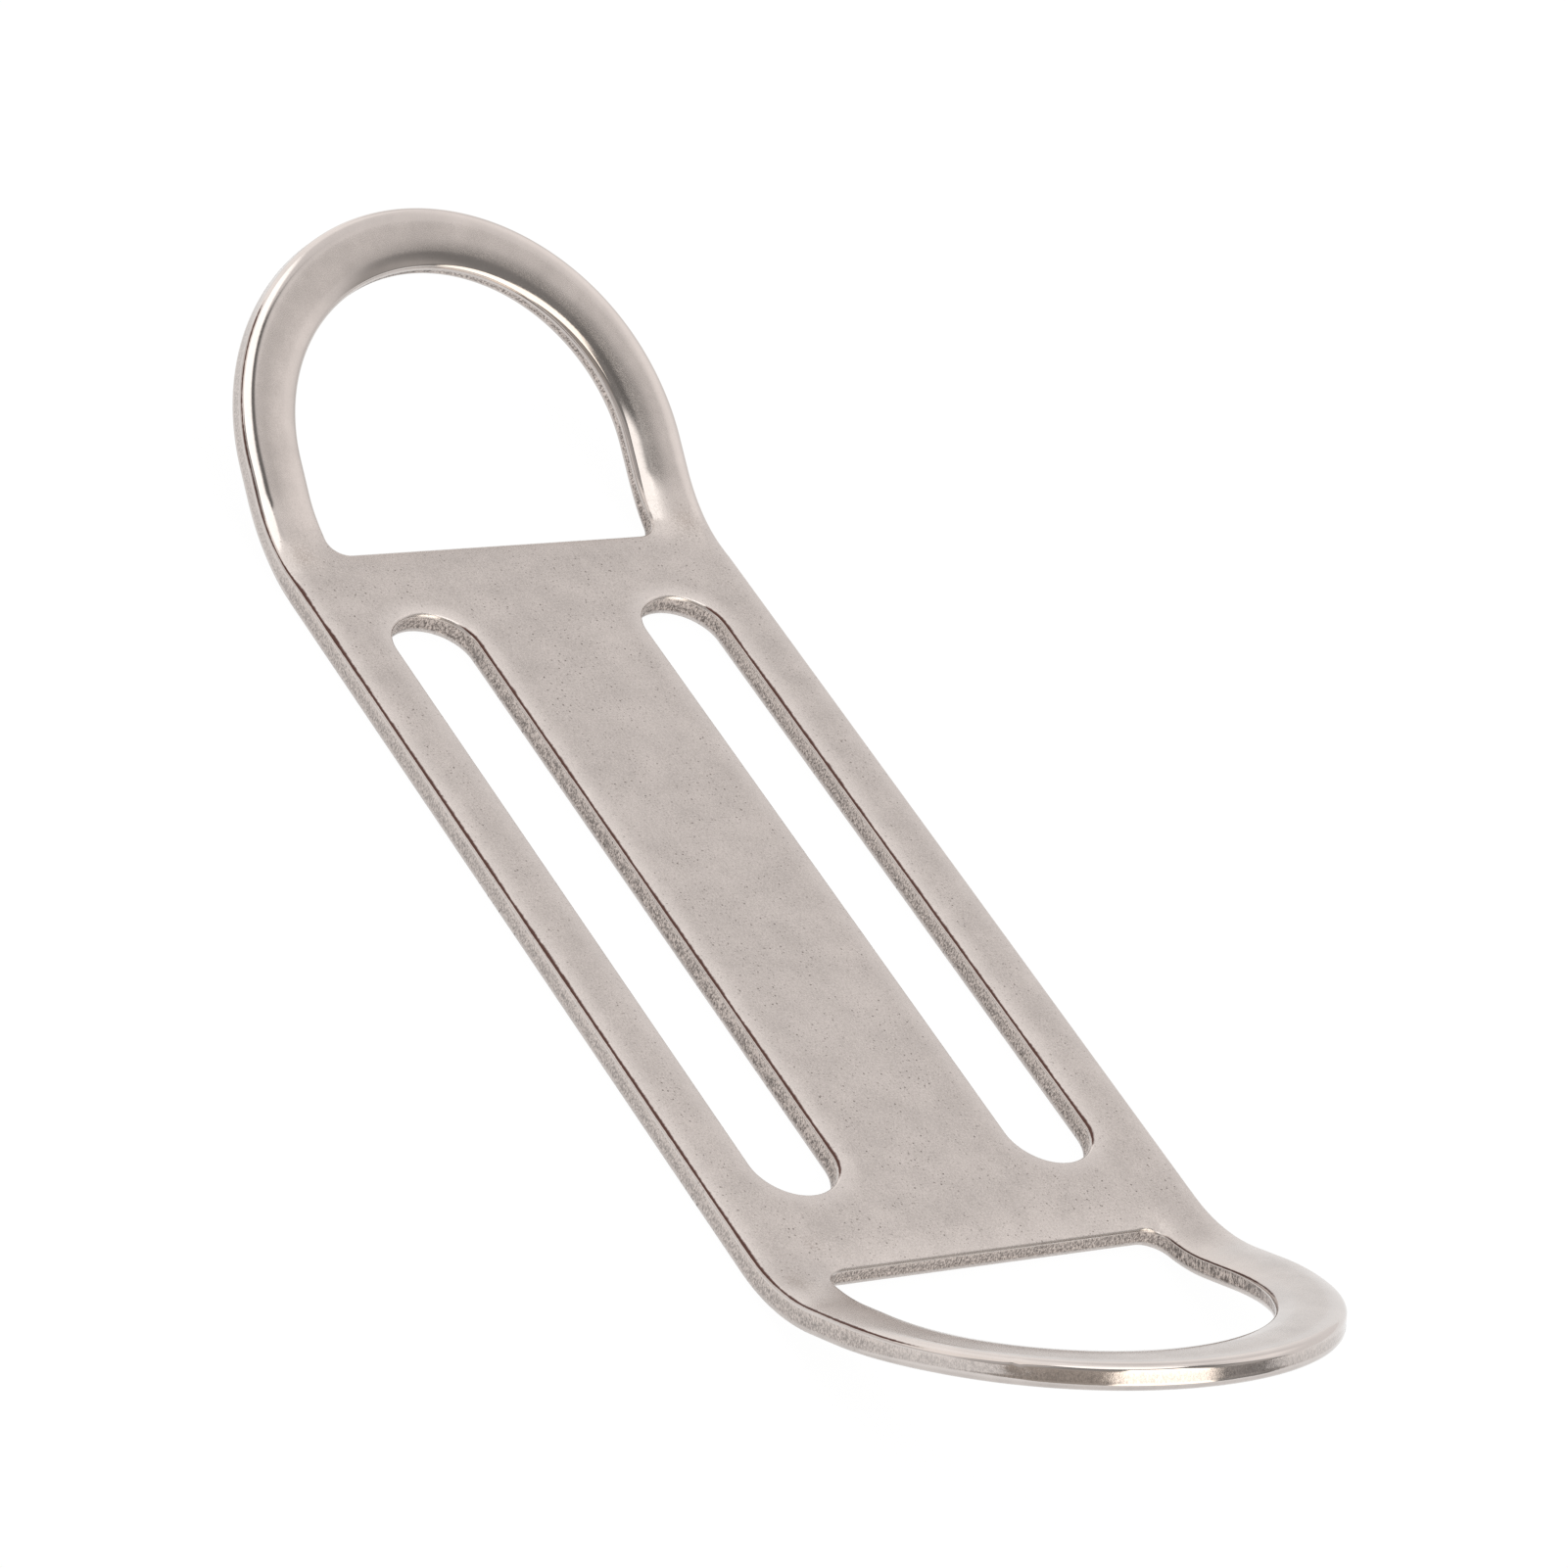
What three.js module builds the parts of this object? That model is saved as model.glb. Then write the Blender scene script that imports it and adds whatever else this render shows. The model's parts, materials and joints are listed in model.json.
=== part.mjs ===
// Double-ended D-ring slide for 50 mm webbing: one plate stamped from sheet steel, with two webbing
// slots side by side and a D-shaped ring at each end that is bent up out of the plate.
// Millimetres. +X runs along the plate, +Y across the slots, +Z up. The origin is on the underside,
// in the middle of the plate. Every size below is measured on the flat blank, before the rings are bent.
import * as THREE from "three";
import { mergeVertices } from "three/addons/utils/BufferGeometryUtils.js";

// Sheet
const SHEET = 1.6; // thickness
const WIDTH = 33; // across the plate, and across each ring
const EDGE_ROUND = 0.3; // radius left on every edge by tumbling

// Webbing slots
const SLOT_LENGTH = 52; // end to end, for webbing 50 mm wide
const SLOT_WIDTH = 5.9;
const SLOT_SPACING = 18.8; // centre to centre

// Rings
const RING_CENTRE = 39.15; // from the middle of the plate to the centre of each ring's arc
const RING_OPENING_RADIUS = 12.35;
const RING_CROSSBAR = 32.15; // from the middle of the plate to each opening's straight edge
const RING_CORNER_RADIUS = 1.4; // where the straight edge meets the sides

// Bends
const BEND_START = 30; // from the middle of the plate
const BEND_RADIUS = 13; // at the middle of the sheet
const BEND_ANGLE = THREE.MathUtils.degToRad(30.3);

// How finely the round stretches are cut into straight steps
const RING_STEPS = 24; // per half circle
const SLOT_END_STEPS = 8; // per half circle
const CORNER_STEPS = 3; // per quarter circle
const ROUNDING_STEPS = 2; // across each rounded edge
const BEND_STEPS = 5; // along each bend

const HALF_TURN = Math.PI;
const QUARTER_TURN = Math.PI / 2;

// Points on an arc in the XY plane, both ends included.
function arc(centreX, centreY, radius, startAngle, sweep, steps) {
  const points = [];
  for (let i = 0; i <= steps; i += 1) {
    const angle = startAngle + (sweep * i) / steps;
    points.push(new THREE.Vector2(centreX + radius * Math.cos(angle), centreY + radius * Math.sin(angle)));
  }
  return points;
}

// A slot or a rounded plate: two half circles whose centres lie centreX either side of X = 0.
function roundEnded(centreX, centreY, radius, steps) {
  return [
    ...arc(centreX, centreY, radius, -QUARTER_TURN, HALF_TURN, steps),
    ...arc(-centreX, centreY, radius, QUARTER_TURN, HALF_TURN, steps),
  ];
}

// The D-shaped opening of one ring: a half circle, two straight sides and a straight edge with rounded
// corners. side is +1 for the ring at +X and -1 for the one at -X.
function ringOpening(side) {
  const cornerX = RING_CROSSBAR + RING_CORNER_RADIUS;
  const cornerY = RING_OPENING_RADIUS - RING_CORNER_RADIUS;
  const points = [
    ...arc(RING_CENTRE, 0, RING_OPENING_RADIUS, -QUARTER_TURN, HALF_TURN, RING_STEPS),
    ...arc(cornerX, cornerY, RING_CORNER_RADIUS, QUARTER_TURN, QUARTER_TURN, CORNER_STEPS),
    ...arc(cornerX, -cornerY, RING_CORNER_RADIUS, HALF_TURN, QUARTER_TURN, CORNER_STEPS),
  ];
  return points.map((point) => point.multiplyScalar(side));
}

// The flat blank, with its underside at Z = 0.
function flatBlank() {
  const outline = new THREE.Shape(roundEnded(RING_CENTRE, 0, WIDTH / 2, RING_STEPS));
  const slotEnd = (SLOT_LENGTH - SLOT_WIDTH) / 2;
  for (const side of [-1, 1]) {
    const slot = roundEnded(slotEnd, (side * SLOT_SPACING) / 2, SLOT_WIDTH / 2, SLOT_END_STEPS);
    outline.holes.push(new THREE.Path(slot), new THREE.Path(ringOpening(side)));
  }
  const blank = new THREE.ExtrudeGeometry(outline, {
    depth: SHEET - 2 * EDGE_ROUND,
    bevelEnabled: true,
    bevelThickness: EDGE_ROUND,
    bevelSize: EDGE_ROUND,
    bevelOffset: -EDGE_ROUND,
    bevelSegments: ROUNDING_STEPS,
  });
  return blank.translate(0, 0, EDGE_ROUND);
}

// The point where the line between two corners meets the plane X = x. The corners are taken in the
// order of their X, so that neighbouring triangles get exactly the same point.
function crossing(first, second, x) {
  const [low, high] = first.x < second.x ? [first, second] : [second, first];
  return new THREE.Vector3().lerpVectors(low, high, (x - low.x) / (high.x - low.x));
}

// The part of a triangle on one side of the plane X = x, as triangles.
function clipped(corners, x, side) {
  const kept = [];
  corners.forEach((corner, i) => {
    const next = corners[(i + 1) % corners.length];
    const depth = side * (corner.x - x);
    const nextDepth = side * (next.x - x);
    if (depth >= 0) kept.push(corner);
    if (depth * nextDepth < 0) kept.push(crossing(corner, next, x));
  });
  return kept.slice(2).flatMap((corner, i) => [kept[0], kept[i + 1], corner]);
}

// Cuts every triangle along the plane X = x, so that the surface can bend there.
function scored(points, x) {
  const result = [];
  for (let i = 0; i < points.length; i += 3) {
    const corners = points.slice(i, i + 3);
    const reach = corners.map((corner) => corner.x);
    if (Math.max(...reach) <= x || Math.min(...reach) >= x) result.push(...corners);
    else result.push(...clipped(corners, x, -1), ...clipped(corners, x, 1));
  }
  return result;
}

// Where a point of the flat blank goes when both rings are bent up.
function folded(point) {
  const along = Math.abs(point.x) - BEND_START;
  if (along <= 0) return point;
  const turn = Math.min(along / BEND_RADIUS, BEND_ANGLE);
  const past = along - turn * BEND_RADIUS;
  const radius = BEND_RADIUS + SHEET / 2 - point.z;
  const x = BEND_START + radius * Math.sin(turn) + past * Math.cos(turn);
  const z = BEND_RADIUS + SHEET / 2 - radius * Math.cos(turn) + past * Math.sin(turn);
  return new THREE.Vector3(Math.sign(point.x) * x, point.y, z);
}

function plateGeometry() {
  const position = flatBlank().getAttribute("position");
  let points = [];
  for (let i = 0; i < position.count; i += 1) points.push(new THREE.Vector3().fromBufferAttribute(position, i));
  for (let i = 0; i <= BEND_STEPS; i += 1) {
    const x = BEND_START + (BEND_RADIUS * BEND_ANGLE * i) / BEND_STEPS;
    points = scored(scored(points, x), -x);
  }
  const plate = mergeVertices(new THREE.BufferGeometry().setFromPoints(points.map(folded)), 1e-3);
  plate.computeVertexNormals();
  return plate;
}

const steel = new THREE.MeshStandardMaterial({ color: 0xb9b1ac, roughness: 0.42, metalness: 1 });

const ringSlide = new THREE.Mesh(plateGeometry(), steel);
ringSlide.name = "ring_slide";

const part = new THREE.Group();
part.add(ringSlide);

export default part;
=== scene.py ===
"""Double-ended D-ring webbing slide, stamped from stainless sheet and tumbled.

The visible plate is a fine mesh of the same blank as the CAD plate: rounded and rolled-over edges, punched
walls, then both rings folded up. Lengths in the mesh code are millimetres, turned into metres at the end.
"""

import json
import math
import bpy
import numpy as np
from mathutils import Matrix, Vector, geometry, noise


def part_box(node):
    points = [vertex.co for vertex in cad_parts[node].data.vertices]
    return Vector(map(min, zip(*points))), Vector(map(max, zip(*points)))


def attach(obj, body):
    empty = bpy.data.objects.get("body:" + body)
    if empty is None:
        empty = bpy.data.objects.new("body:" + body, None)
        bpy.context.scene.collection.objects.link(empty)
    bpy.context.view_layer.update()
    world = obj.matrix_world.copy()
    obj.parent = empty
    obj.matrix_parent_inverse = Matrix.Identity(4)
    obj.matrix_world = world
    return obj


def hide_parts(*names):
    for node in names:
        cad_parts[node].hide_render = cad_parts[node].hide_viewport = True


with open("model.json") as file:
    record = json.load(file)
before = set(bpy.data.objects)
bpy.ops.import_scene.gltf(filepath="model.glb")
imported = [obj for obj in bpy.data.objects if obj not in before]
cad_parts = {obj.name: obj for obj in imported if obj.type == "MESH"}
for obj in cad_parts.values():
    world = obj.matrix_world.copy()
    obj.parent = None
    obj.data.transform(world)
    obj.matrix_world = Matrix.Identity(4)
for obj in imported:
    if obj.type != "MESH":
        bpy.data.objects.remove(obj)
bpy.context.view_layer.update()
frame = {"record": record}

MM = 0.001
NODE = "ring_slide"

# ---------------------------------------------------------------------------------------------------------
# Sizes of the flat blank, in millimetres
# ---------------------------------------------------------------------------------------------------------
CAD_LOW, CAD_HIGH = (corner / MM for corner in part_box(NODE))
MOUNTS = {mount["name"]: mount for mount in frame["record"]["mounts"]}
SHEET = MOUNTS["centre_bar_top"]["pos_m"][2] / MM
WIDTH = CAD_HIGH.y - CAD_LOW.y
SLOT_LENGTH = 52.0
SLOT_WIDTH = 5.9
SLOT_SPACING = 18.8
RING_CENTRE = 39.15
RING_OPENING_RADIUS = 12.35
RING_CROSSBAR = 32.15
RING_CORNER_RADIUS = 1.4
BEND_START = 30.0
BEND_RADIUS = 13.0
BEND_ANGLE = math.radians(30.3)

# Edges. Punching rolls the top face down to its edge, and wear has turned the roll round the outside of the
# rings into a bevel. Each edge is rounded below its roll, and at the underside.
BODY_ROUND = 0.3
SLOT_ROUND = 0.27
RING_ROUND = 0.38
OPENING_ROUND = 0.5
UNDER_ROUND = 0.28
RING_UNDER_ROUND = 0.45
OUTER_REACH = 1.6  # how far in from the outer edge the top face begins to roll down
SLOT_REACH = 1.7
OPENING_REACH = 2.5
BEVEL_REACH = 1.0
BODY_ROLL = math.radians(5.0)  # the roll's slope where the rounding begins
OPENING_ROLL = math.radians(14.6)
BEVEL_ROLL = math.radians(16.0)
WORN_TAPER = 0.25  # how much less a worn edge's roll reaches at the rings' tips
TAPER_SPAN = (40.0, 50.0)  # where along a ring that comes in

# Where along the -X and the +X ring an edge turns from fresh to worn
OUTER_WORN = ((28.5, 34.0), (40.0, 47.0))
OPENING_WORN = ((33.2, 36.5), (38.5, 48.0))
CROSSBAR_END = (32.6, 34.5)  # from an opening's straight edge into its sides

# Punched walls: torn along the punch's stroke, and stepping back a little from a third of the way down
TEAR_DEPTH = 0.035
FRACTURE_DEPTH = 0.045
FRACTURE_SPAN = (0.7, 0.35)  # where that comes in, going down, as shares of the sheet's thickness

# The painted shade line: a thin dark line just under the edges, painted shade and dark reflection. The body
# has it where its edges face -Y, and the rings where theirs face the side given below. It ends towards the
# tips of the -X and the +X ring.
SHADE_LINE_HALF = 0.054  # half its height
SHADE_LINE_SIDE = np.array((0.5, -0.85))
SHADE_LINE_BODY_FACING = (0.6, 0.98)
SHADE_LINE_RING_FACING = (-0.3, 0.3)
SHADE_LINE_TO_RING = (28.5, 34.0)  # where along the plate the body's way of having it gives way to the rings'
SHADE_LINE_END = ((51.0, 48.5), (48.0, 43.0))

# Painted sheen: lighter colour for the brighter reflection on the top edges, wholly from this far in, and on
# the walls down to this height
SHEEN_INSET = 0.1
SHEEN_HEIGHT = 0.3

# Small dents and burrs on the top edges: place on the blank, reach, and the push that makes them
MARKS = (
    ((-8.6, -6.4, 1.5), 0.30, (0, 0.05, -0.04)),
    ((-23.8, -6.55, 1.5), 0.28, (0.01, 0.07, -0.07)),
    ((-24.3, -6.9, 1.6), 0.26, (0, -0.04, 0.03)),
    ((-33.4, 12.3, 1.5), 0.40, (0.10, 0.10, -0.16)),
    ((32.1, 11.6, 1.6), 0.35, (0.04, 0, 0.09)),
    ((32.5, 12.3, 1.5), 0.42, (-0.08, 0.10, -0.16)),
    ((33.3, 12.4, 1.6), 0.30, (0, -0.05, 0.06)),
    ((50.35, -11.9, 1.3), 0.28, (-0.05, 0.04, -0.03)),
)

# Faint stains that bending left beside the rings' corners: how strong they are, where, and their reach
STAIN_STRENGTH = 0.45
STAINS = (
    ((-32.0, -14.9), 0.9),
    ((-32.9, 14.6), 0.9),
    ((33.2, -15.0), 0.9),
    ((30.0, -11.9), 0.35),
    ((27.3, -12.9), 0.22),
    ((28.4, -12.9), 0.18),
)

# What the material is told about every point of an edge, among them where the painted shade line and the
# painted sheen go
LOOKS = ("wall", "tear", "shade_line", "sheen", "polish")

# Mesh fineness
STEP = 0.23  # along every edge
FILL_STEP = 0.8  # across the faces
CHORD_SLACK = 0.03  # more than the steps along a curved edge cut off it
ROLL_STEPS = 8
ROUND_STEPS = 9
WALL_STEPS = 7
UNDER_STEPS = 4


# ---------------------------------------------------------------------------------------------------------
# The blank's edges as closed paths, with the steel on the left
# ---------------------------------------------------------------------------------------------------------
def line(start, end):
    """Points along a straight edge, its last point left out, with the direction that leaves the steel."""
    start, end = np.array(start, float), np.array(end, float)
    length = np.linalg.norm(end - start)
    count = max(2, round(length / STEP))
    share = np.arange(count)[:, None] / count
    ahead = (end - start) / length
    away = np.tile([ahead[1], -ahead[0]], (count, 1))
    return start + (end - start) * share, away


def arc(centre, radius, start, sweep):
    """Points along an arc, its last point left out. A negative sweep goes round a hole."""
    count = max(4, round(abs(sweep) * radius / STEP))
    angle = start + sweep * np.arange(count) / count
    spoke = np.stack([np.cos(angle), np.sin(angle)], axis=1)
    return np.array(centre) + radius * spoke, spoke * math.copysign(1, sweep)


def joined(*stretches):
    """One closed path from its stretches: points, and the directions that leave the steel."""
    return tuple(np.concatenate(part) for part in zip(*stretches))


def outer_edge():
    half, quarter, reach = WIDTH / 2, math.pi / 2, RING_CENTRE
    return joined(
        arc((reach, 0), half, -quarter, math.pi),
        line((reach, half), (-reach, half)),
        arc((-reach, 0), half, quarter, math.pi),
        line((-reach, -half), (reach, -half)),
    )


def slot_edge(side):
    half, quarter = SLOT_WIDTH / 2, math.pi / 2
    reach, y = (SLOT_LENGTH - SLOT_WIDTH) / 2, side * SLOT_SPACING / 2
    return joined(
        arc((reach, y), half, quarter, -math.pi),
        line((reach, y - half), (-reach, y - half)),
        arc((-reach, y), half, -quarter, -math.pi),
        line((-reach, y + half), (reach, y + half)),
    )


def ring_opening_edge(side):
    half, quarter, corner = RING_OPENING_RADIUS, math.pi / 2, RING_CORNER_RADIUS
    corner_x, corner_y = RING_CROSSBAR + corner, half - corner
    points, away = joined(
        arc((RING_CENTRE, 0), half, quarter, -math.pi),
        line((RING_CENTRE, -half), (corner_x, -half)),
        arc((corner_x, -corner_y), corner, -quarter, -quarter),
        line((RING_CROSSBAR, -corner_y), (RING_CROSSBAR, corner_y)),
        arc((corner_x, corner_y), corner, math.pi, -quarter),
        line((corner_x, half), (RING_CENTRE, half)),
    )
    return points * side, away * side


# ---------------------------------------------------------------------------------------------------------
# The section of an edge: in from the edge and down from the top face, then round and down the wall
# ---------------------------------------------------------------------------------------------------------
def smooth(low, high, value):
    share = np.clip((value - low) / (high - low), 0, 1)
    return share * share * (3 - 2 * share)


def smooth_on_rings(x, spans):
    """smooth from the plate's middle outwards, over one span on the -X side and another on the +X side."""
    minus, plus = (smooth(*span, np.abs(x)) for span in spans)
    return np.where(x < 0, minus, plus)


def between(low, high, share):
    return low + (high - low) * share


def edge_rows(reach, roll_reach, rounding, roll, crease, under):
    """Every row of an edge, from the top face round to the underside: inset, height, and if it is wall.

    reach is how far in the first row is. The face rolls down from roll_reach to the slope roll, evenly where
    crease is 2 and with more of a crease at roll_reach where it is less. rounding and under are the radii on
    top and on the underside. All but reach are given at each point of the edge.
    """
    rows = []
    zero = np.zeros_like(rounding)
    start = rounding * (1 - np.sin(roll))
    run = roll_reach - start
    for share in np.linspace(0, 1, ROLL_STEPS, endpoint=False):
        inset = reach - (reach - start) * share
        rolled = np.clip((roll_reach - inset) / run, 0, 1)
        rows.append((inset, SHEET - run * roll * rolled**crease / crease, False))
    middle = SHEET - run * roll / crease - rounding * np.cos(roll)
    for step in range(ROUND_STEPS):
        angle = roll + (math.pi / 2 - roll) * step / ROUND_STEPS
        rows.append((rounding * (1 - np.sin(angle)), middle + rounding * np.cos(angle), False))
    for share in np.linspace(0, 1, WALL_STEPS, endpoint=False):
        rows.append((zero, middle + (under - middle) * share, True))
    for angle in np.linspace(math.pi / 2, math.pi, UNDER_STEPS + 1):
        rows.append((under * (1 - math.sin(angle)), under * (1 + math.cos(angle)), False))
    rows.append((reach + zero, zero, False))
    return rows


def torn(points, away, tear):
    """Pushes a wall's points into the steel where the punch tore it, and more below, where it broke away."""
    height = points[:, 2] / SHEET
    ragged = [noise.noise(Vector((x * 3.2, y * 3.2, z * 1.1))) for x, y, z in points]
    middle = np.clip(6 * height * (1 - height), 0, 1)
    fracture = FRACTURE_DEPTH * smooth(*FRACTURE_SPAN, height)
    depth = TEAR_DEPTH * (1 + np.array(ragged)) * middle + fracture
    points[:, :2] -= away * (depth * tear)[:, None]


def marked(points):
    """Dents and burrs, as small soft pushes on the flat blank's points."""
    for place, reach, push in MARKS:
        distance = np.linalg.norm(points - np.array(place), axis=1) / reach
        points += np.exp(-distance * distance)[:, None] * np.array(push)
    return points


# ---------------------------------------------------------------------------------------------------------
# The faces between the edges
# ---------------------------------------------------------------------------------------------------------
def inside_faces(x, y, margin):
    """True where a point is in the steel and more than margin past where every edge's roll begins."""
    beyond = max(abs(x) - RING_CENTRE, 0)
    from_axis = math.hypot(beyond, y)
    if from_axis > WIDTH / 2 - OUTER_REACH - margin:
        return False
    corner_x = RING_CROSSBAR + RING_CORNER_RADIUS - abs(x)
    corner_y = abs(y) - (RING_OPENING_RADIUS - RING_CORNER_RADIUS)
    if corner_x > 0 and corner_y > 0:
        if math.hypot(corner_x, corner_y) < RING_CORNER_RADIUS + OPENING_REACH + margin:
            return False
    elif abs(x) > RING_CROSSBAR - OPENING_REACH - margin:
        if from_axis < RING_OPENING_RADIUS + OPENING_REACH + margin:
            return False
    past_slot = max(abs(x) - (SLOT_LENGTH - SLOT_WIDTH) / 2, 0)
    from_slot = math.hypot(past_slot, abs(y) - SLOT_SPACING / 2)
    return from_slot > SLOT_WIDTH / 2 + SLOT_REACH + margin


def fill(edge_rings):
    """Triangles between the inner rings of all the edges. Gives the extra points, and the triangles, whose
    numbers count through the rings' points and then the extra ones."""
    ring_points = np.concatenate(edge_rings)
    pairs, first = [], 0
    for ring in edge_rings:
        count = len(ring)
        pairs += [(first + i, first + (i + 1) % count) for i in range(count)]
        first += count
    reach = RING_CENTRE + WIDTH / 2
    extra = [
        (x, y)
        for x in np.arange(-reach, reach, FILL_STEP)
        for y in np.arange(-WIDTH / 2, WIDTH / 2, FILL_STEP)
        if inside_faces(x, y, FILL_STEP / 3)
    ]
    coords = [Vector(point) for point in [*ring_points.tolist(), *extra]]
    _, _, faces, origins, _, _ = geometry.delaunay_2d_cdt(coords, pairs, [], 0, 1e-5)
    number = [where[0] for where in origins]
    triangles = []
    for face in faces:
        corners = [number[i] for i in face]
        centre = sum((coords[i] for i in corners), Vector((0, 0))) / 3
        if inside_faces(centre.x, centre.y, -CHORD_SLACK):
            triangles.append(corners)
    return np.array(extra), triangles


def fold(points):
    """Bends both rings of the flat blank up. Takes and gives an array of points in millimetres."""
    x, y, z = points.T
    along = np.maximum(np.abs(x) - BEND_START, 0)
    turn = np.minimum(along / BEND_RADIUS, BEND_ANGLE)
    past = along - turn * BEND_RADIUS
    radius = BEND_RADIUS + SHEET / 2 - z
    flat_x = np.minimum(np.abs(x), BEND_START)
    new_x = flat_x + radius * np.sin(turn) + past * np.cos(turn)
    new_z = BEND_RADIUS + SHEET / 2 - radius * np.cos(turn) + past * np.sin(turn)
    return np.stack([np.sign(x) * new_x, y, new_z], axis=1)


def stains(flat):
    """How stained each point of the blank is, on the top face only."""
    stain = np.zeros(len(flat))
    for (x, y), reach in STAINS:
        near = np.hypot(flat[:, 0] - x, flat[:, 1] - y) / reach
        stain += STAIN_STRENGTH * np.exp(-near * near)
    return stain * (flat[:, 2] > SHEET * 0.8)


def edges():
    """Each edge with what is special to it.

    Pairs are for where the edge is fresh and where it is worn: roll_reach, roll, crease and round are its
    shape, tear is how torn its wall is, wall how much the wall looks punched and not like the face, and
    shade_line_drop how far below the roll the painted shade line is. The other numbers are sheen, how much
    painted sheen the edge has, polish, where the shine of a worn edge begins and is full, going out,
    ring_shade_line, how strong the painted shade line is on a ring, and crossbar, how strong tears and the
    painted shade line are on an opening's straight edge.
    """
    outer = {
        "path": outer_edge(),
        "reach": OUTER_REACH,
        "worn": OUTER_WORN,
        "roll_reach": (OUTER_REACH, BEVEL_REACH),
        "roll": (BODY_ROLL, BEVEL_ROLL),
        "crease": (2, 1.75),
        "round": (BODY_ROUND, RING_ROUND),
        "tear": (0.3, 0.2),
        "wall": (0.75, 0.45),
        "shade_line_drop": (0.05, 0.12),
        "sheen": 1.0,
        "polish": (1.2, 0.9),
        "ring_shade_line": 0.9,
        "crossbar": 1.0,
    }
    # A slot is fresh all round, because it ends before the worn stretches
    slot = outer | {
        "reach": SLOT_REACH,
        "roll_reach": (SLOT_REACH, SLOT_REACH),
        "round": (SLOT_ROUND, SLOT_ROUND),
        "tear": (0.6, 0.6),
        "wall": (1, 1),
    }
    opening = {
        "reach": OPENING_REACH,
        "worn": OPENING_WORN,
        "roll_reach": (OPENING_REACH, OPENING_REACH),
        "roll": (OPENING_ROLL, OPENING_ROLL),
        "crease": (2, 2),
        "round": (SLOT_ROUND, OPENING_ROUND),
        "tear": (0.95, 0.7),
        "wall": (1, 1),
        "shade_line_drop": (0.13, 0.10),
        "sheen": 0.4,
        "polish": (1.3, 0.8),
        "crossbar": 0.5,
    }
    return (
        outer,
        slot | {"path": slot_edge(-1)},
        slot | {"path": slot_edge(1)},
        opening | {"path": ring_opening_edge(-1), "ring_shade_line": 0.3},
        opening | {"path": ring_opening_edge(1), "ring_shade_line": 0.9},
    )


def shade_line_strength(place, away, ring_shade_line):
    """How much of the painted shade line, dark shade and reflection painted under the edge, each point of an
    edge has.
    """
    x = place[:, 0]
    on_ring = smooth(*SHADE_LINE_TO_RING, np.abs(x))
    on_body_side = smooth(*SHADE_LINE_BODY_FACING, -away[:, 1])
    on_ring_side = smooth(*SHADE_LINE_RING_FACING, away @ SHADE_LINE_SIDE)
    facing = between(on_body_side, on_ring_side, on_ring)
    return between(1, ring_shade_line, on_ring) * smooth_on_rings(x, SHADE_LINE_END) * facing


def edge_strip(edge):
    """The rows of one edge: the flat points of each, and what the material needs to know about them."""
    place, away = edge["path"]
    distance = np.abs(place[:, 0])
    worn = smooth_on_rings(place[:, 0], edge["worn"])
    names = ("roll_reach", "roll", "crease", "round", "tear", "wall", "shade_line_drop")
    roll_reach, roll, crease, rounding, tear, wall, shade_line_drop = (between(*edge[n], worn) for n in names)
    roll_reach = roll_reach - WORN_TAPER * worn * smooth(*TAPER_SPAN, distance)
    under = between(UNDER_ROUND, RING_UNDER_ROUND, worn)
    off_crossbar = between(edge["crossbar"], 1, smooth(*CROSSBAR_END, distance))
    tear = tear * off_crossbar
    # How strong the painted shade line, dark shade and reflection painted under this edge, is
    shade_line = shade_line_strength(place, away, edge["ring_shade_line"]) * off_crossbar
    rows = edge_rows(edge["reach"], roll_reach, rounding, roll, crease, under)
    # The painted shade line sits this far below the top of the rounding
    shade_line_middle = rows[ROLL_STEPS][1] - shade_line_drop
    points = []
    looks = {name: [] for name in LOOKS}
    for number, (inset, height, on_wall) in enumerate(rows):
        row = np.column_stack([place - away * inset[:, None], height])
        if on_wall:
            torn(row, away, tear)
        points.append(row)
        from_shade_line = (height - shade_line_middle) / SHADE_LINE_HALF
        # Painted sheen: lighter colour near the top edges, for their brighter reflection
        sheen_share = smooth(edge["reach"], SHEEN_INSET, inset) * (height > SHEEN_HEIGHT)
        looks["wall"].append(wall * on_wall)
        looks["tear"].append(tear * on_wall)
        looks["shade_line"].append((number >= ROLL_STEPS) * shade_line * np.exp(-from_shade_line * from_shade_line))
        looks["sheen"].append(edge["sheen"] * sheen_share)
        looks["polish"].append(worn * smooth(*edge["polish"], inset))
    return points, looks


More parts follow.
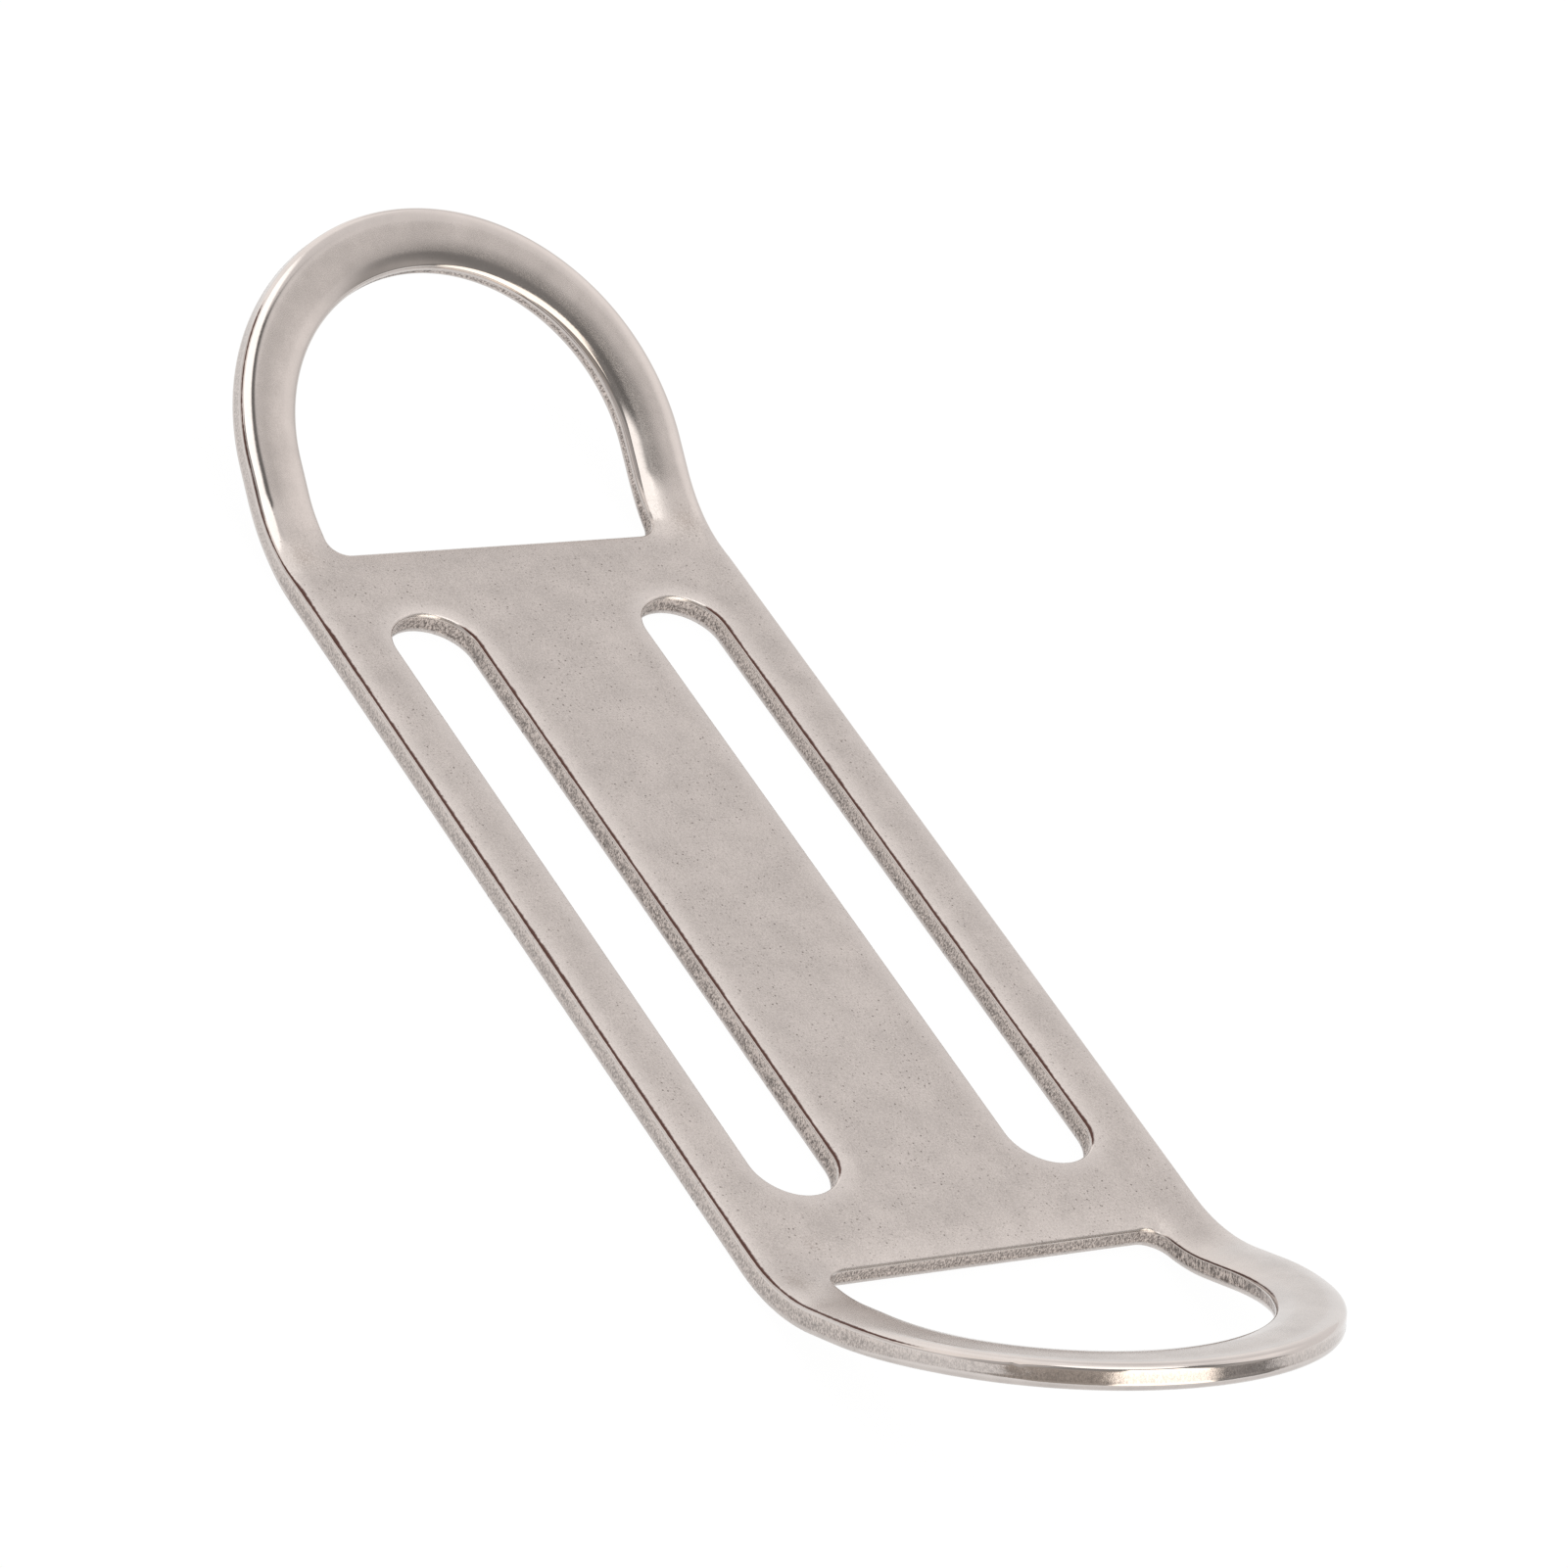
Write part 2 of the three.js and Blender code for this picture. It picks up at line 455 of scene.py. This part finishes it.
def build_plate():
    """The plate as one closed mesh, with its flat coordinates kept for the materials."""
    points, quads, top_rings, ring_numbers = [], [], [], []
    looks = {name: [] for name in LOOKS}
    count = 0
    for edge in edges():
        rows, row_looks = edge_strip(edge)
        points += rows
        for name, values in row_looks.items():
            looks[name] += values
        numbers = np.arange(len(rows) * len(rows[0])).reshape(len(rows), -1) + count
        here, below = numbers[:-1], numbers[1:]
        sides = [here, below, np.roll(below, -1, axis=1), np.roll(here, -1, axis=1)]
        quads.append(np.stack(sides, axis=-1).reshape(-1, 4))
        top_rings.append(rows[0][:, :2])
        ring_numbers.append((numbers[0], numbers[-1]))
        count += numbers.size
    extra, triangles = fill(top_rings)
    faces = np.concatenate(quads).tolist()
    for side, height, order in ((0, SHEET, 1), (1, 0.0, -1)):
        numbers = np.concatenate([pair[side] for pair in ring_numbers] + [count + np.arange(len(extra))])
        points.append(np.column_stack([extra, np.full(len(extra), height)]))
        for values in looks.values():
            values.append(np.zeros(len(extra)))
        count += len(extra)
        faces += [numbers[corners[::order]].tolist() for corners in triangles]
    flat = np.concatenate(points)
    looks["stain"] = [stains(flat)]
    mesh = bpy.data.meshes.new("ring_slide_plate")
    mesh.from_pydata((fold(marked(flat.copy())) * MM).tolist(), [], faces)
    mesh.attributes.new("blank", "FLOAT_VECTOR", "POINT").data.foreach_set("vector", flat.ravel())
    for name, values in looks.items():
        mesh.attributes.new(name, "FLOAT", "POINT").data.foreach_set("value", np.concatenate(values))
    mesh.shade_smooth()
    mesh.update()
    return mesh


plate = bpy.data.objects.new("ring_slide_plate", build_plate())
bpy.context.scene.collection.objects.link(plate)
print("plate", len(plate.data.vertices), "points", len(plate.data.polygons), "faces")


# ---------------------------------------------------------------------------------------------------------
# Material: every pattern is laid on the flat blank, in millimetres, so it bends with the steel
# ---------------------------------------------------------------------------------------------------------
class Tree:
    """A node tree with short ways to add nodes. An input is a number, a colour or another node's output."""

    def __init__(self, owner):
        owner.use_nodes = True
        self.nodes, self.links = owner.node_tree.nodes, owner.node_tree.links

    def feed(self, socket, value):
        if isinstance(value, bpy.types.NodeSocket):
            self.links.new(value, socket)
        else:
            socket.default_value = value

    def add(self, kind, settings=(), **inputs):
        node = self.nodes.new("ShaderNode" + kind)
        for name, value in dict(settings).items():
            setattr(node, name, value)
        for name, value in inputs.items():
            self.feed(node.inputs[name.replace("_", " ")], value)
        return node

    def attribute(self, name, output="Fac"):
        return self.add("Attribute", {"attribute_name": name}).outputs[output]

    def math(self, operation, first, second=0.0, third=0.0, clamp=False):
        node = self.add("Math", {"operation": operation, "use_clamp": clamp})
        for socket, value in zip(node.inputs, (first, second, third)):
            self.feed(socket, value)
        return node.outputs[0]

    def span(self, value, low, high, to_low=0.0, to_high=1.0):
        """value from low..high onto to_low..to_high, with soft ends."""
        node = self.add("MapRange", {"interpolation_type": "SMOOTHSTEP"}, Value=value)
        for name, number in zip(("From Min", "From Max", "To Min", "To Max"), (low, high, to_low, to_high)):
            self.feed(node.inputs[name], number)
        return node.outputs[0]

    def blend(self, share, first, second):
        """A colour between two."""
        node = self.add("Mix", {"data_type": "RGBA"})
        for index, value in ((0, share), (6, first), (7, second)):
            self.feed(node.inputs[index], value)
        return node.outputs[2]

    def stretched(self, vector, scale):
        return self.add("Mapping", Vector=vector, Scale=scale).outputs[0]

    def noise(self, vector, scale, detail=3.0, roughness=0.5):
        node = self.add("TexNoise", Vector=vector, Scale=scale, Detail=detail, Roughness=roughness)
        return node.outputs["Fac"]

    def pits(self, vector, scale, size, low, high):
        """Round spots on the face, one in each cell of a pattern whose random number passes low to high."""
        cells = self.add("TexVoronoi", {"voronoi_dimensions": "2D"}, Vector=vector, Scale=scale)
        spot = self.span(cells.outputs["Distance"], size * 0.4, size, 1.0, 0.0)
        pick = self.add("SeparateColor", Color=cells.outputs["Color"]).outputs[0]
        return self.math("MULTIPLY", spot, self.span(pick, low, high))


FACE_COLOUR = (0.640, 0.587, 0.557, 1)
FACE_SHADE = (0.442, 0.405, 0.384, 1)
# Painted sheen: the lighter colour of the rims' bright reflection
SHEEN_COLOUR = (0.740, 0.690, 0.662, 1)
PIT_COLOUR = (0.16, 0.135, 0.125, 1)
# The painted shade line's colour: painted shade and dark reflection just under the edges
SHADE_LINE_COLOUR = (0.090, 0.048, 0.040, 1)
WALL_COLOUR = (0.680, 0.598, 0.550, 1)
WALL_SHADE = (0.160, 0.137, 0.127, 1)
STAIN_COLOUR = (0.36, 0.30, 0.26, 1)


def face_look(tree, blank, grain, off_rings):
    """The faces' colour, with clouds, clusters of pits, stains and painted sheen on the rims, and the pits
    alone.
    """
    cloud = tree.noise(blank, 0.42, 4.0, 0.6)
    rise = tree.math("MULTIPLY", tree.math("SUBTRACT", grain, 0.5), off_rings)
    shade = tree.math("MULTIPLY_ADD", cloud, 0.65, tree.math("MULTIPLY", rise, 1.5))
    colour = tree.blend(tree.span(shade, -0.1, 0.75), FACE_COLOUR, FACE_SHADE)
    patchy = tree.span(tree.noise(blank, 0.5, 2.0), 0.42, 0.62, 0.35, 1.0)
    large_pits = tree.pits(blank, 1.5, 0.13, 0.35, 0.8)
    small_pits = tree.pits(blank, 3.4, 0.21, 0.3, 1.0)
    pits = tree.math("MULTIPLY_ADD", large_pits, 0.9, tree.math("MULTIPLY", small_pits, 0.7), clamp=True)
    pits = tree.math("MULTIPLY", tree.math("MULTIPLY", pits, patchy), off_rings)
    colour = tree.blend(pits, colour, PIT_COLOUR)
    stain = tree.math("MULTIPLY", tree.attribute("stain"), tree.span(grain, 0.35, 0.6))
    colour = tree.blend(stain, colour, STAIN_COLOUR)
    # Painted sheen on the rims, lighter towards the edges, standing in for their brighter reflection
    sheen = tree.math("MULTIPLY", tree.attribute("sheen"), 0.5)
    return tree.blend(sheen, colour, SHEEN_COLOUR), pits


def wall_look(tree, blank, tear):
    """The punched walls' colour, and their torn fibres alone. Down a wall there is a lighter burnished band
    under the edge, of a height that wanders, and torn steel below."""
    coarse = tree.noise(tree.stretched(blank, (1.0, 1.0, 0.4)), 5.0, 5.0, 0.8)
    fine = tree.noise(tree.stretched(blank, (1.0, 1.0, 0.6)), 8.0, 4.0, 0.8)
    most_torn = tree.span(tear, 0.6, 0.95)
    fibres = tree.add("Mix", {"data_type": "FLOAT"}, Factor=most_torn, A=fine, B=coarse).outputs[0]
    _, _, z = tree.add("SeparateXYZ", Vector=blank).outputs
    wander = tree.math("MULTIPLY_ADD", tree.noise(blank, 0.13, 3.0), 0.9, z)
    burnished = tree.math("MULTIPLY", tree.span(wander, 1.32, 1.58), tree.span(tear, 0.6, 0.95, 0.05, -0.01))
    contrast = tree.math("ADD", tear, 0.5)
    light = tree.math("MULTIPLY_ADD", tree.math("SUBTRACT", fibres, 0.5), contrast, burnished)
    return tree.blend(tree.span(light, -0.105, 0.125), WALL_SHADE, WALL_COLOUR), fibres


def with_shade_line(tree, blank, colour):
    """The colour with the painted shade line on it, a thin dark line of painted shade and dark reflection,
    which is a little ragged, and comes and goes.
    """
    ragged = tree.math("MULTIPLY_ADD", tree.noise(blank, 3.5, 3.0, 0.6), 0.5, tree.attribute("shade_line"))
    ragged = tree.math("MULTIPLY_ADD", tree.noise(blank, 0.35, 2.0), 0.6, ragged)
    return tree.blend(tree.span(ragged, 0.85, 1.25), colour, SHADE_LINE_COLOUR)


def tumbled_steel():
    """Satin stainless steel from the tumbler: fine grain and pits on the faces, torn grain on the walls."""
    material = bpy.data.materials.new("tumbled_steel")
    tree = Tree(material)
    shader = tree.nodes["Principled BSDF"]
    blank = tree.attribute("blank", "Vector")
    tear = tree.attribute("tear")
    polish = tree.attribute("polish")
    x, _, _ = tree.add("SeparateXYZ", Vector=blank).outputs
    # The rings are worn nearly smooth
    off_rings = tree.span(tree.math("ABSOLUTE", x), 31.0, 37.0, 1.0, 0.15)
    grain = tree.noise(blank, 8.0, 3.0, 0.7)

    face_colour, pits = face_look(tree, blank, grain, off_rings)
    wall_colour, fibres = wall_look(tree, blank, tear)
    colour = tree.blend(tree.attribute("wall"), face_colour, wall_colour)
    # The painted shade line of dark shade and reflection goes over the colour
    tree.feed(shader.inputs["Base Color"], with_shade_line(tree, blank, colour))

    satin = tree.span(grain, 0.3, 0.7, 0.22, 0.30)
    satin = tree.math("SUBTRACT", satin, tree.math("MULTIPLY", polish, 0.19))
    tree.feed(shader.inputs["Roughness"], tree.math("MULTIPLY_ADD", tear, 0.2, satin))

    face_height = tree.math("SUBTRACT", tree.math("MULTIPLY", grain, 0.6), pits)
    face_height = tree.math("MULTIPLY", face_height, off_rings)
    wall_height = tree.math("MULTIPLY", fibres, tree.span(polish, 0.0, 1.0, 16.0, 3.0))
    height = tree.add("Mix", {"data_type": "FLOAT"}, Factor=tear, A=face_height, B=wall_height).outputs[0]
    bump = tree.add("Bump", Strength=1.0, Distance=6e-6, Height=height)
    tree.feed(shader.inputs["Normal"], bump.outputs["Normal"])
    shader.inputs["Metallic"].default_value = 1.0
    return material


plate.data.materials.append(tumbled_steel())
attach(plate, "root")
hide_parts(NODE)


# ---------------------------------------------------------------------------------------------------------
# Studio
# ---------------------------------------------------------------------------------------------------------
def floor():
    """A white table that glows a little, so that nothing lies in shadow on it."""
    bpy.ops.mesh.primitive_plane_add(size=6, location=(0, 0, -0.0001))
    plane = bpy.context.object
    plane.name = "studio_floor"
    material = bpy.data.materials.new("studio_floor")
    shader = Tree(material).nodes["Principled BSDF"]
    shader.inputs["Base Color"].default_value = (0.04, 0.04, 0.04, 1)
    shader.inputs["Roughness"].default_value = 0.8
    shader.inputs["Specular IOR Level"].default_value = 0.0
    shader.inputs["Emission Color"].default_value = (1, 1, 1, 1)
    shader.inputs["Emission Strength"].default_value = 0.97
    plane.data.materials.append(material)


# The light tent round the table. Each panel has the azimuth of its middle, from -Y towards +X, its middle's
# elevation, its width and height, how soft its edges are, all in degrees, and its light. A later panel hangs
# in front of an earlier one, and ROOM is the light between them.
ROOM = (0.29, 0.283, 0.277, 1)
PANELS = (
    ("front", 54, 12, 56, 56, 6, (0.46, 0.42, 0.385, 1)),
    ("front_left", 8, 20, 44, 80, 6, (0.58, 0.56, 0.55, 1)),
    ("left_low", -35, 0, 90, 44, 5, (0.78, 0.755, 0.74, 1)),
    ("right_low", 137, 25, 28, 34, 6, (0.50, 0.48, 0.465, 1)),
    ("back", -160, 30, 98, 100, 6, (0.92, 0.895, 0.885, 1)),
    ("side", -91, 31, 50, 62, 7, (1.22, 1.19, 1.17, 1)),
    ("side_low", -108, 2, 50, 20, 5, (1.15, 1.12, 1.10, 1)),
    ("strip", -36, 45, 66, 52, 4, (1.15, 1.10, 1.06, 1)),
    ("back_top", -105, 63, 90, 42, 9, (1.20, 1.17, 1.15, 1)),
    ("back_glow", -178, 41, 50, 24, 9, (1.18, 1.14, 1.12, 1)),
    ("gap", 143, 66, 50, 11, 3, (0.22, 0.215, 0.21, 1)),
    ("window", 96, 30, 42, 60, 2, (2.3, 2.15, 1.95, 1)),
    ("overhead", 0, 90, 720, 40, 2, (1.8, 1.78, 1.75, 1)),
)


def light_tent():
    room = bpy.data.worlds.new("light_tent")
    tree = Tree(room)
    towards = tree.add("TexCoord").outputs["Generated"]
    x, y, z = tree.add("SeparateXYZ", Vector=towards).outputs
    azimuth = tree.math("DEGREES", tree.math("ARCTAN2", x, tree.math("MULTIPLY", y, -1.0)))
    elevation = tree.math("DEGREES", tree.math("ARCSINE", z))
    light = ROOM
    for _, turn, rise, width, height, soft, panel in PANELS:
        aside = tree.math("WRAP", tree.math("SUBTRACT", azimuth, turn), 180.0, -180.0)
        aside = tree.math("ABSOLUTE", aside)
        above = tree.math("ABSOLUTE", tree.math("SUBTRACT", elevation, rise))
        across = tree.span(aside, width / 2 - soft, width / 2 + soft, 1.0, 0.0)
        upright = tree.span(above, height / 2 - soft, height / 2 + soft, 1.0, 0.0)
        light = tree.blend(tree.math("MULTIPLY", across, upright), light, panel)
    tree.feed(tree.nodes["Background"].inputs["Color"], light)
    bpy.context.scene.world = room


# The camera: where its axis meets the sheet's middle, how far from there it is, the azimuth that it stands
# at, from -Y towards +X, its elevation, and how far it is rolled over to its left
AIM = (-8.872, 9.028)
CAMERA_DISTANCE = 486.153  # in millimetres, as AIM is
CAMERA_TURN = math.radians(45.080)
CAMERA_RISE = math.radians(34.897)
CAMERA_ROLL = math.radians(24.572)
LENS = 178.91
SENSOR = 36.0


def camera():
    turned = Matrix.Rotation(CAMERA_TURN, 4, "Z") @ Matrix.Rotation(math.pi / 2 - CAMERA_RISE, 4, "X")
    turned = turned @ Matrix.Rotation(CAMERA_ROLL, 4, "Z")
    aim = Matrix.Translation(Vector((*AIM, SHEET / 2)) * MM)
    data = bpy.data.cameras.new("camera")
    data.sensor_width = SENSOR
    data.lens = LENS
    data.clip_start = 0.01
    obj = bpy.data.objects.new("camera", data)
    obj.matrix_world = aim @ turned @ Matrix.Translation((0, 0, CAMERA_DISTANCE * MM))
    bpy.context.scene.collection.objects.link(obj)
    bpy.context.scene.camera = obj


floor()
light_tent()
camera()
bpy.context.scene.view_settings.view_transform = "Standard"
